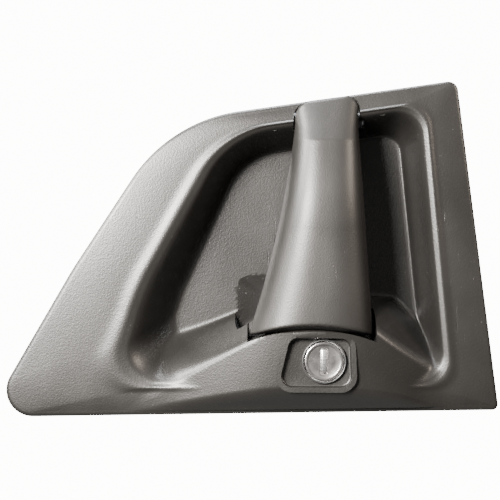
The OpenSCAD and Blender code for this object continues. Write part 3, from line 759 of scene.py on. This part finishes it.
    def cut_front(self, skin: bpy.types.Object) -> None:
        """Cut the pocket, the lock's bore, the recess with its slot and the way for the grip's head."""
        x, z = self.lock
        self.cut_arch(skin)
        rim = [(-1.3 * (1 - math.cos(a)), -20.9 - 1.4 * math.sin(a)) for a in np.linspace(0, math.pi / 2, 6)]
        foot = [(0.9 * (1 - math.sin(a)), self.pocket_y - 0.9 * (1 - math.cos(a)))
                for a in np.linspace(0, math.pi / 2, 5)]
        tools = [drawn_block("pocket", self.pocket, foot + rim + [(-1.3, -32)]),
                 rod("bore", x, z, -40, 20, 10.7, 0, 96)]
        box = self.recess
        tools.append(drawn_block("recess", rounded(*box, 4), [(-3.2, 1.0), (-3.2, 19.2), (1.2, 21.5)]))
        tools.append(drawn_block("slot", rounded(*self.slot, 1.5), [(0, 20), (0, 30)]))
        tools.append(self.head_way(-34.0, -4.0, 130.0))
        tools.append(self.head_way(-4.6, -1.0, 99.2))
        tools += [drawn_block(name, rounded(*span), [(0, low), (0, high)]) for name, span, low, high in self.ways]
        tools += [rod("post_hole", px, pz, self.floor_y + 2.4, 36, 2.0, 0, 32) for px, pz in self.posts]
        tools += [rod("hinge_hole", px, pz, -0.6, 14, 2.0, 0, 32) for px, pz in self.hinge_posts]
        tools.append(drawn_block("rod_way", rounded(-4, 46, -60, -31, 2), [(0, 14.5), (0, 28)]))
        for tool in tools:
            Bench.carve(skin, tool)

    def head_way(self, low: float, high: float, ceiling: float) -> bpy.types.Object:
        """Return the tool that clears the grip's head, with its top rounded like the head's."""
        line = [(x, min(ceiling, head_top(x, 0.8))) for x in np.linspace(40.1, 6.6, 60)]
        return Bench.plate("head_way", [(6.6, 83.0), (40.1, 83.0), *line], low, high)

    def build(self) -> bpy.types.Object:
        """Model the panel and let it stand for the frame's node."""
        skin = self.skin()
        self.add_back(skin)
        self.cut_front(skin)
        strip = Bench.plate("strip", self.loop(self.edge.inset(1.0)), -4.0, -2.2)
        Bench.carve(strip, drawn_block("span", rounded(1, 48, 99, 111, 0.5), [(0, -8), (0, 2)]), "INTERSECT")
        Bench.carve(skin, strip, "UNION")
        Bench.finish(skin, 38)
        self.wardrobe.dress(skin, Finish.PANEL)
        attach(skin, "root")
        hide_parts("panel")
        return skin


# --- the grip ---
@dataclass
class Grip:
    """The hollow grip that hangs from the hinge at its head."""

    wardrobe: Wardrobe
    back_y: float = -3.0
    flange_y: float = -6.0
    top: float = 106.0
    proud: float = 22.0
    wall: float = 2.6
    arch_centre: Point = (15.3, -92.0)
    arch_radius: float = 85.3
    hinge: Point = (4.0, 95.5)
    ear_radius: float = 5.2
    ears: tuple[Point, ...] = ((9.5, 14.5), (33, 38))
    around: int = 72
    rows: int = 150

    def span(self, z: np.ndarray) -> tuple[np.ndarray, np.ndarray]:
        """Return where the grip's left and right sides are at a height."""
        share = (97 - z) / 111.5
        left = np.where(share < 0.06, 7.43, 8.2 - 12 * share - 12.6 * share ** 2)
        right = np.where(share < 0.06, 39.2, 38.75 + 7.6 * share)
        return left, right

    def height(self, z: np.ndarray) -> np.ndarray:
        """Return how far the front stands out at a height."""
        rise = self.proud - 14
        upper = 14 + rise * 0.86 * np.sin(np.radians(90 * np.clip(84 - z, 0, 44) / 44))
        lower = 14 + rise * (0.86 + 0.14 * (40 - z) / 55)
        return np.where(z > 84, 14 - (z - 84) * 0.5, np.where(z > 40, upper, lower))

    def ring(self, z: np.ndarray, inset: float, back: float) -> np.ndarray:
        """Return one closed ring whose points lie at the given heights."""
        left, right = self.span(z)
        left, right = left + inset, right - inset
        turn = np.linspace(0, math.pi, self.around)
        cosine, sine = np.cos(turn), np.clip(np.sin(turn), 0, 1)
        x = (left + right) / 2 - (right - left) / 2 * np.sign(cosine) * np.abs(cosine) ** 0.72
        tall = self.height(z) - inset - self.flange_y + back
        y = back - tall * sine ** np.where(cosine > 0, 0.84, 0.62)
        return np.stack([x, y, z], axis=1)

    def end_height(self, x: np.ndarray, gap: float) -> np.ndarray:
        """Return the height of the arched lower end."""
        return self.arch_centre[1] + np.sqrt((self.arch_radius + gap) ** 2 - (x - self.arch_centre[0]) ** 2)

    def loft(self, name: str, inset: float, back: float, top: float, soft: float) -> bpy.types.Object:
        """Loft the grip's body.

        Args:
            name: Name of the piece.
            inset: How far it lies inside the outer form.
            back: Depth of its flat back.
            top: Height of its top.
            soft: Radius of its end edges.

        Returns:
            The closed body.
        """
        rings = []
        turns = np.linspace(0, math.pi / 2, 6) if soft else [math.pi / 2]
        stations = [(0.0, soft * (1 - math.sin(a)), soft * (1 - math.cos(a))) for a in turns]
        stations += [(share, 0.0, soft) for share in np.linspace(0, 1, self.rows)[1:-1]]
        stations += [(1.0, soft * (1 - math.sin(a)), soft * (1 - math.cos(a))) for a in reversed(list(turns))]
        for share, tuck, lift in stations:
            z = np.full(self.around, top - (top + 12) * share)
            for _ in range(4):
                x = self.ring(z, inset + tuck, back)[:, 0]
                crest = head_top(x) if top > 100 else top
                low, high = self.end_height(x, inset) + lift, crest - lift
                z = high - (high - low) * share
            rings.append(self.ring(z, inset + tuck, back))
        return Bench.loft(name, rings)

    def ear(self, low: float, high: float) -> bpy.types.Object:
        """Return one ear that carries a bush."""
        y, z = self.hinge
        arc = [(y + self.ear_radius * math.cos(a), z + self.ear_radius * math.sin(a))
               for a in np.linspace(-1.0, math.pi * 0.95, 30)]
        return Bench.plate("ear", [(-6.4, 84.2), *arc, (-4, 94.5), (-6.4, 94.5)], low, high, axis=0)

    def build(self) -> bpy.types.Object:
        """Model the grip and let it stand for the frame's node."""
        shell = self.loft("grip_body", 0.0, self.back_y, self.top, 1.4)
        Bench.carve(shell, self.loft("hollow", self.wall, 17.0, 84.0, 0.0))
        Bench.carve(shell, drawn_block("relief", rounded(0, 50, 97.4, 130, 1), [(0, -6.7), (0, 30)]))
        for low, high in self.ears:
            Bench.carve(shell, self.ear(low, high), "UNION")
        bore = Bench.turned("bore", [(0, 0), (3.5, 0), (3.5, 50), (0, 50)], self.hinge, 64, axis=0)
        Bench.carve(shell, bore)
        Bench.finish(shell, 38)
        self.wardrobe.dress(shell, Finish.GRIP)
        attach(shell, "grip")
        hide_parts("grip_shell")
        return shell


# --- the lock's visible pieces ---
@dataclass
class LockFace:
    """The bright face, its dark bezel and the shutter in the key slot."""

    wardrobe: Wardrobe
    slot_width: float = 3.2
    slot_height: float = 12.0

    def cap(self) -> bpy.types.Object:
        """Model the pressed cap with a rolled edge, a shallow dish and its key slot."""
        low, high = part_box("lock_face_cap")
        x, z = (low.x + high.x) / 2 / MM, (low.z + high.z) / 2 / MM
        radius, front, back = (high.x - low.x) / 2 / MM, low.y / MM, high.y / MM
        roll = [(radius - 0.6 + 0.6 * math.sin(a), front + 0.6 - 0.6 * math.cos(a))
                for a in np.linspace(0, math.pi / 2, 7)]
        dish = [(0.0, front + 0.32), (5.0, front + 0.3), (7.6, front + 0.24), (8.1, front + 0.08), (8.4, front)]
        piece = Bench.turned("face_cap", [*dish, *roll, (radius, back), (0.0, back)], (x, z), 128)
        half_w, half_h = self.slot_width / 2, self.slot_height / 2
        soft = [(-0.35, front - 3), (-0.35, front + 0.25), (0.0, front + 0.6), (0.0, back + 2)]
        slot = rounded(x - half_w, x + half_w, z - half_h, z + half_h, 0.5)
        Bench.carve(piece, drawn_block("slot", slot, soft))
        Bench.finish(piece, 30)
        self.wardrobe.dress(piece, Finish.CHROME)
        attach(piece, "plug")
        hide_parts("lock_face_cap")
        return piece

    def bezel(self) -> bpy.types.Object:
        """Model the ring round the face with rounded lips."""
        low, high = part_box("lock_bezel")
        x, z = (low.x + high.x) / 2 / MM, (low.z + high.z) / 2 / MM
        outer, front, back = (high.x - low.x) / 2 / MM, low.y / MM, high.y / MM
        inner = outer - 0.9
        lip = [((inner + outer) / 2 + 0.45 * math.cos(a), front + 0.45 - 0.45 * math.sin(a))
               for a in np.linspace(0, math.pi, 9)]
        piece = Bench.turned("bezel_ring", [(outer, back), *lip, (inner, back)], (x, z), 128)
        Bench.finish(piece, 40)
        self.wardrobe.dress(piece, Finish.BEZEL)
        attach(piece, "root")
        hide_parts("lock_bezel")
        return piece

    def shutter(self) -> bpy.types.Object:
        """Model the sprung shutter as a plate rolled round its pin."""
        low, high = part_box("key_shutter")
        x0, x1, front, back = low.x / MM, high.x / MM, low.y / MM, high.y / MM
        barrel = min(0.6, (back - front) / 2)
        centre = (x0 + barrel, (front + back) / 2)
        roll = [(centre[0] + barrel * math.cos(a), centre[1] + barrel * math.sin(a))
                for a in np.linspace(0.3, math.tau - math.pi / 2, 18)]
        nose = [(x1 - 0.25, front), (x1, front + 0.25), (x1, front + 0.45), (x1 - 0.2, front + 0.65)]
        piece = Bench.plate("shutter_flap", [*roll, *nose], low.z / MM, high.z / MM, axis=2)
        Bench.pick(piece)
        bevel = piece.modifiers.new("soft_edges", "BEVEL")
        bevel.width = 0.12 * MM
        bevel.segments = 2
        bevel.limit_method = "ANGLE"
        bpy.ops.object.modifier_apply(modifier=bevel.name)
        Bench.finish(piece, 40)
        self.wardrobe.dress(piece, Finish.SHUTTER)
        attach(piece, "shutter")
        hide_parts("key_shutter")
        return piece

    def build(self) -> list[bpy.types.Object]:
        """Model all three pieces."""
        return [self.cap(), self.bezel(), self.shutter()]


# --- the pieces of the frame ---
@dataclass
class Works:
    """The hinge, the drive, the lock and the fixings that the frame already holds."""

    wardrobe: Wardrobe

    def build(self) -> list[bpy.types.Object]:
        """Dress every node that isn't replaced."""
        dressed = []
        for name, finish in FRAME_FINISH.items():
            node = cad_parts[name]
            self.wardrobe.dress(node, finish)
            dressed.append(node)
        return dressed


# --- camera, lights and floor ---
@dataclass
class Studio:
    """A pale room with soft light from the upper left, and the camera in front of the panel."""

    eye: tuple[float, float, float] = (-15.0, -606.0, 30.0)
    lens: float = 86.4
    floor_z: float = -1500.0
    backdrop: float = 14.0
    ambient: float = 0.30

    def camera(self) -> None:
        """Place the camera, level and square to the panel."""
        data = bpy.data.cameras.new("camera")
        data.lens, data.sensor_width = self.lens, 36.0
        camera = bpy.data.objects.new("camera", data)
        camera.location = tuple(value * MM for value in self.eye)
        camera.rotation_euler = (math.pi / 2, 0.0, 0.0)
        bpy.context.scene.collection.objects.link(camera)
        bpy.context.scene.camera = camera

    def lamp(self, name: str, place: tuple[float, float, float], size: float, power: float,
             tint: Colour = (1.0, 1.0, 1.0)) -> None:
        """Add a soft square lamp that looks at the middle of the panel, with place and size in metres."""
        data = bpy.data.lights.new(name, "AREA")
        data.size, data.energy, data.color = size, power, tint
        lamp = bpy.data.objects.new(name, data)
        lamp.location = place
        aim = -lamp.location
        lamp.rotation_euler = aim.to_track_quat("-Z", "Y").to_euler()
        bpy.context.scene.collection.objects.link(lamp)

    def room(self) -> None:
        """Make the pale surroundings and the floor."""
        world = bpy.data.worlds.new("pale_room")
        world.use_nodes = True
        bpy.context.scene.world = world
        tree = world.node_tree
        shade = tree.nodes["Background"]
        shade.inputs["Color"].default_value = (1.0, 0.98, 0.95, 1.0)
        seen = Value(tree, tree.nodes.new("ShaderNodeLightPath").outputs["Is Camera Ray"])
        split = tree.nodes.new("ShaderNodeSeparateXYZ")
        tree.links.new(tree.nodes.new("ShaderNodeTexCoord").outputs["Generated"], split.inputs[0])
        side, up = Value(tree, split.outputs["X"]), Value(tree, split.outputs["Z"])
        slope = up * 0.9 - side * 0.7 + 0.75
        glow = slope.maths("MAXIMUM", slope, 0.03)
        tree.links.new((seen * self.backdrop + (1.0 - seen) * glow * self.ambient).socket,
                       shade.inputs["Strength"])
        Bench.clear()
        bpy.ops.mesh.primitive_plane_add(size=3.0, location=(0, 0, self.floor_z * MM))
        floor = bpy.context.active_object
        floor.name = "floor"
        paint = Paint("floor_paint")
        paint.feed(Base_Color=paint.blend(paint.noise(2.0), (0.20, 0.20, 0.20), (0.24, 0.24, 0.24)), Roughness=0.8)
        floor.data.materials.append(paint.material)

    def build(self) -> None:
        """Build the room, the lamps and the camera."""
        self.room()
        self.camera()
        self.lamp("key", (-0.42, -0.66, 0.26), 0.26, 56.0, (1.0, 0.955, 0.90))
        self.lamp("window", (-0.75, -0.25, 0.55), 0.40, 34.0, (1.0, 0.965, 0.92))
        self.lamp("fill", (0.80, -0.40, 0.45), 0.30, 8.0, (1.0, 0.86, 0.74))
        self.lamp("sky", (-0.15, 0.02, 1.0), 0.45, 24.0, (0.97, 0.98, 1.0))


def main() -> None:
    """Build the handle and its surroundings, and report each piece."""
    logging.basicConfig(level=logging.INFO, format="%(name)s: %(message)s")
    wardrobe = Wardrobe()
    Studio().build()
    _, high_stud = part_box("fixing_studs")
    reach_x, reach_z = high_stud.x / MM - 5, high_stud.z / MM - 5
    studs = tuple((x * reach_x, z * reach_z) for x in (-1, 1) for z in (-1, 1))
    pieces = [Panel(wardrobe, studs=studs).build(), Grip(wardrobe).build()]
    pieces += LockFace(wardrobe).build()
    pieces += Works(wardrobe).build()
    for piece in pieces:
        LOG.info("%s: %d faces", piece.name, len(piece.data.polygons))


if __name__ == "__main__":
    main()
